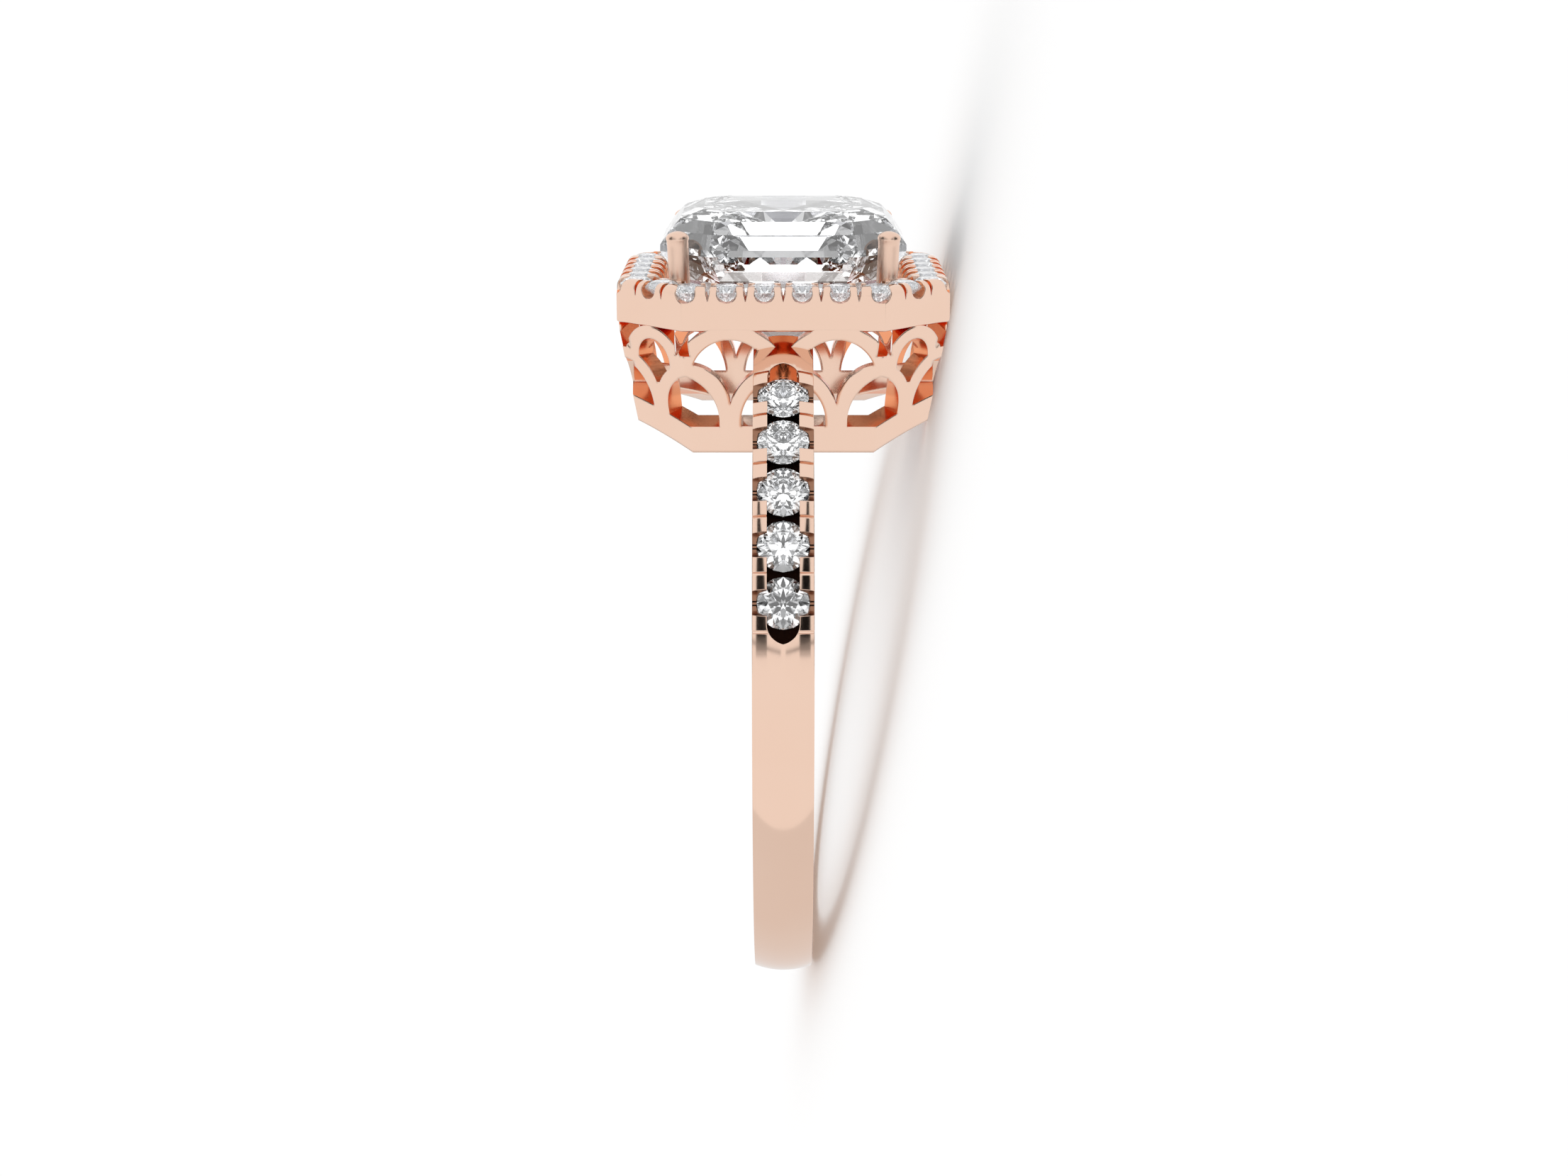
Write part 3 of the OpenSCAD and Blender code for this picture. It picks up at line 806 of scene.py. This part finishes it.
class RING_OT_prongs(bpy.types.Operator):
    """Models the four prongs that hold the centre stone at its cut corners"""
    bl_idname = "ring.prongs"
    bl_label = "Prongs"

    def execute(self, context):
        r = context.scene.ring_sizes.prong_diameter / MM / 2
        low, over_girdle, at, lean = HALO_Z + 0.13, 0.16, 2.962, 3.2
        wire = self.wire(r, GIRDLE_TOP_Z + over_girdle - low)
        room = eight_walled([
            (side + SEAT_GAP, corner + SEAT_GAP, z - SEAT_GAP if z <= GIRDLE_Z else z + SEAT_GAP)
            for side, corner, z in STONE_LAYERS])
        places = [place for place, _ in halo_places()]
        quarter = ROW_STONES + 1
        for i in range(4):
            prong = copy_of(wire, round_z(90 * i) @ moved(at, at, low) @ round_z(45)
                            @ Matrix.Rotation(math.radians(lean), 4, "Y"))
            combine(prong, copy_of(room))
            # The prong stands beside the halo's corner stone, whose seat cuts into it
            corner = places[(quarter * (i + 2) - 1) % len(places)]
            combine(prong, settle(seat(HALO_STONE), corner @ moved(0, 0, HALO_GIRDLE_Z)))
            finished(prong, f"prong_{i + 1}", metals(context, "satin", rough=0.28, edge=0.07),
                     smooth_angle=40)
        for spare in (wire, room):
            bpy.data.objects.remove(spare)
        return {"FINISHED"}

    def wire(self, r, length):
        """A round wire with a slightly swollen, domed tip."""
        tip, cap = r + 0.025, 0.2
        rings = [(r, 0), (r, length - 0.1)]
        for degrees in range(-18, 90, 6):
            turn = math.radians(degrees)
            rings.append((tip * math.cos(turn), length + tip - cap + cap * math.sin(turn)))
        return stacked(rings, WIRE_STEPS)


class RING_OT_stones(bpy.types.Operator):
    """Dresses the stones of the CAD frame in their material"""
    bl_idname = "ring.stones"
    bl_label = "Stones"

    def execute(self, context):
        tint = context.scene.ring_colours.stone[:]
        cuts = {
            "centre_stone": diamond("step_cut_diamond", tint),
            # The halo's melee gets a faint painted glow
            "halo_stone": diamond("melee_diamond", tint, 0.02),
            "shank_stone": diamond("brilliant_cut_diamond", tint),
        }
        for cut, material in cuts.items():
            for name, node in frame["nodes"].items():
                if name.startswith(cut):
                    node.data.materials.clear()
                    node.data.materials.append(material)
        return {"FINISHED"}


# ---------------------------------------------------------------- stage

CARD_DISTANCE = 120

# Cards that come as a mirrored pair of ladders beside the lens: the tone of each field, and the
# (azimuth, elevation) of the inner and outer end of each rung. The shoulder cards give the black
# strips beside the lower stones of the shank, the edge cards darken what turns away to the
# sides, and the thin cards draw a line across the shank below the stones.
LADDERS = {
    "shoulder_card": ((0.01, 0.01, 0.01, 0.01, 0.01, 0.12, 0.3, 0.6), (
        ((45.5, 50.5), (48, 49)), ((38, 43), (43, 41.5)), ((31.5, 37), (39.5, 35)),
        ((26, 28.5), (37.5, 27)), ((23.5, 20.5), (35.5, 19.5)), ((20.3, 11.5), (34.2, 10)),
        ((20.2, 9.5), (34.1, 8)), ((20.1, 7.5), (34, 6.2)), ((20, 5.8), (33.9, 4.5)))),
    "edge_card": ((0.01, 0.01), (
        ((66, 52), (92, 52)), ((50, 30), (90, 30)), ((46, -3), (86, 2)))),
    "thin_card": ((0.3,), (
        ((3, 8.2), (50, 8.2)), ((3, 7.2), (50, 7.2)))),
}

# The large card below, whose grey shows on the lower half of the shank
LOW_CARD = ((-60, -38.6, -40), (60, -38.6, -40), (-60, 100, -40), (60, 100, -40))

# Panels of the gem light booth: the share of them at which each tone begins, and the tone
PANEL_TONES = ((0.0, 0.01), (0.16, 0.35), (0.4, 0.65), (0.6, 0.9), (0.82, 1.4))
BOOTH_CEILING, ROOM = (1.6, 1.6, 1.6, 1), (1.02, 1.02, 1.02, 1)

# The camera fitted to the photograph, in the row's frame
CAMERA_PLACE = (19.150, -74.617, 6.801)
CAMERA_RIGHT = (0.190352, 0, -0.981716)
CAMERA_UP = (0.949074, 0.25573, 0.184023)
CAMERA_BACK = (0.251054, -0.96675, 0.048679)
LENS, SENSOR_WIDTH = 56.81, 36


class RING_OT_stage(bpy.types.Operator):
    """Sets up the floor, the light, the cards and the camera"""
    bl_idname = "ring.stage"
    bl_label = "Stage"

    def execute(self, context):
        scene = context.scene
        scene.view_settings.view_transform = "Standard"
        # Light runs many times between the facets and the polished walls before it gets out
        scene.cycles.max_bounces = scene.cycles.transmission_bounces = 24
        scene.cycles.glossy_bounces = 16
        scene.world = scene.world or bpy.data.worlds.new("studio")
        self.light_room(scene.world)
        self.lay_floor(scene.ring_colours.floor)
        low = self.card("low_grey_card", LOW_CARD, 0.85)
        low.visible_transmission = False
        for name, (values, rungs) in LADDERS.items():
            for i, value in enumerate(values):
                for side, side_name in ((-1, "left"), (1, "right")):
                    corners = [self.far_away(side * azimuth, elevation)
                               for rung in rungs[i:i + 2] for azimuth, elevation in rung]
                    self.card(f"{name}_{i + 1}_{side_name}", corners, value)
        self.add_camera(scene)
        return {"FINISHED"}

    def lay_floor(self, colour):
        """A round floor that runs out to white and isn't mirrored in the ring."""
        bpy.ops.mesh.primitive_circle_add(vertices=96, radius=0.6, fill_type="NGON")
        floor = bpy.context.object
        floor.name = floor.data.name = "floor"
        floor.data.materials.append(matt_floor("matt_white_floor", colour))
        floor.visible_glossy = floor.visible_transmission = False

    def card(self, name, corners, value):
        """A flat card that only reflections see, from four corners in the upright ring's frame."""
        bpy.ops.mesh.primitive_plane_add(size=1)
        sheet = bpy.context.object
        for v, corner in zip(sheet.data.vertices, corners):
            v.co = LAY_DOWN @ (Vector(corner) * MM)
        sheet.name = sheet.data.name = name
        sheet.data.materials.append(lit_card(name, value))
        sheet.visible_camera = sheet.visible_diffuse = sheet.visible_shadow = False
        return sheet

    def far_away(self, azimuth, elevation):
        """A place in a direction, with azimuth counted from the side that faces the lens."""
        a, e = math.radians(azimuth), math.radians(elevation)
        return (CARD_DISTANCE * math.sin(a) * math.cos(e),
                -CARD_DISTANCE * math.cos(a) * math.cos(e), CARD_DISTANCE * math.sin(e))

    def light_room(self, world):
        """A white room for the metal. Light that comes out of a stone has the panels of a gem
        light booth to look at, white, grey and black, the same on both sides of the ring."""
        world.use_nodes = True
        tree = world.node_tree
        tree.nodes.clear()
        place = add_node(tree, "ShaderNodeTexCoord")
        upright = add_node(tree, "ShaderNodeMapping", {"Rotation": (0, ROLL - math.pi / 2, 0)},
                           {"Vector": place.outputs["Generated"]})
        parts = add_node(tree, "ShaderNodeSeparateXYZ", {}, {"Vector": upright.outputs["Vector"]})
        across = add_node(tree, "ShaderNodeMath", {"operation": "ABSOLUTE"},
                          {0: parts.outputs["X"]})
        folded = add_node(tree, "ShaderNodeCombineXYZ", {},
                          {"X": across.outputs["Value"], "Y": parts.outputs["Y"],
                           "Z": parts.outputs["Z"]})
        panels = add_node(tree, "ShaderNodeTexVoronoi", {"Scale": 3.2},
                          {"Vector": folded.outputs["Vector"]})
        pick = add_node(tree, "ShaderNodeSeparateColor", {}, {"Color": panels.outputs["Color"]})
        greys = add_node(tree, "ShaderNodeValToRGB", {}, {"Fac": pick.outputs["Red"]})
        ramp = greys.color_ramp
        ramp.interpolation = "CONSTANT"
        while len(ramp.elements) < len(PANEL_TONES):
            ramp.elements.new(0.5)
        for element, (at, value) in zip(ramp.elements, PANEL_TONES):
            element.position = at
            element.color = (value, value, value, 1)
        # The panels below the ring's own level are dimmed, and the ceiling is the brightest
        dim = add_node(tree, "ShaderNodeMapRange",
                       {"From Min": -0.5, "From Max": 0.0, "To Min": 0.4},
                       {"Value": parts.outputs["Z"]})
        dimmed = add_node(tree, "ShaderNodeVectorMath", {"operation": "SCALE"},
                          {0: greys.outputs["Color"], "Scale": dim.outputs["Result"]})
        ceiling = add_node(tree, "ShaderNodeMapRange", {"From Min": 0.8, "From Max": 0.88},
                           {"Value": parts.outputs["Z"]})
        booth = add_node(tree, "ShaderNodeMix", {"data_type": "RGBA", MIX_B: BOOTH_CEILING},
                         {MIX_FACTOR: ceiling.outputs["Result"], MIX_A: dimmed.outputs["Vector"]})
        path = add_node(tree, "ShaderNodeLightPath")
        choose = add_node(tree, "ShaderNodeMix", {"data_type": "RGBA", MIX_A: ROOM},
                          {MIX_FACTOR: path.outputs["Transmission Depth"],
                           MIX_B: booth.outputs[MIX_RESULT]})
        light = add_node(tree, "ShaderNodeBackground", {}, {"Color": choose.outputs[MIX_RESULT]})
        add_node(tree, "ShaderNodeOutputWorld", {}, {"Surface": light.outputs["Background"]})

    def add_camera(self, scene):
        """The camera at the photograph's angle to the ring."""
        camera = bpy.data.objects.new("camera", bpy.data.cameras.new("camera"))
        scene.collection.objects.link(camera)
        camera.data.lens, camera.data.sensor_width = LENS, SENSOR_WIDTH
        camera.data.clip_start, camera.data.clip_end = 0.005, 5
        place = [p * MM for p in CAMERA_PLACE]
        rows = list(zip(CAMERA_RIGHT, CAMERA_UP, CAMERA_BACK, place))
        camera.matrix_world = Matrix([*rows, (0, 0, 0, 1)])
        scene.camera = camera


# ---------------------------------------------------------------- panel and run

STEPS = (RING_OT_stage, RING_OT_shank, RING_OT_gallery, RING_OT_halo_band, RING_OT_prongs,
         RING_OT_stones)


class RING_PT_panel(bpy.types.Panel):
    """Sizes and colours, and a button for each step in order"""
    bl_idname = "RING_PT_panel"
    bl_label = "Halo engagement ring"
    bl_space_type = "VIEW_3D"
    bl_region_type = "UI"
    bl_category = "Ring"

    def draw(self, context):
        for group in (context.scene.ring_sizes, context.scene.ring_colours):
            for key in group.__annotations__:
                self.layout.prop(group, key)
        for step in STEPS:
            self.layout.operator(step.bl_idname)


CLASSES = (RingSizes, RingColours, *STEPS, RING_PT_panel)


def register():
    for cls in CLASSES:
        bpy.utils.register_class(cls)
    bpy.types.Scene.ring_sizes = bpy.props.PointerProperty(type=RingSizes)
    bpy.types.Scene.ring_colours = bpy.props.PointerProperty(type=RingColours)


def unregister():
    del bpy.types.Scene.ring_colours
    del bpy.types.Scene.ring_sizes
    for cls in reversed(CLASSES):
        bpy.utils.unregister_class(cls)


def main():
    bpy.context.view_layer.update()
    register()
    # A new file's own objects
    for obj in [o for o in bpy.data.objects if o.name in ("Cube", "Light", "Camera")]:
        bpy.data.objects.remove(obj)
    bpy.ops.ring.stage()
    bpy.ops.ring.shank()
    bpy.ops.ring.gallery()
    bpy.ops.ring.halo_band()
    bpy.ops.ring.prongs()
    bpy.ops.ring.stones()


if __name__ == "__main__":
    main()
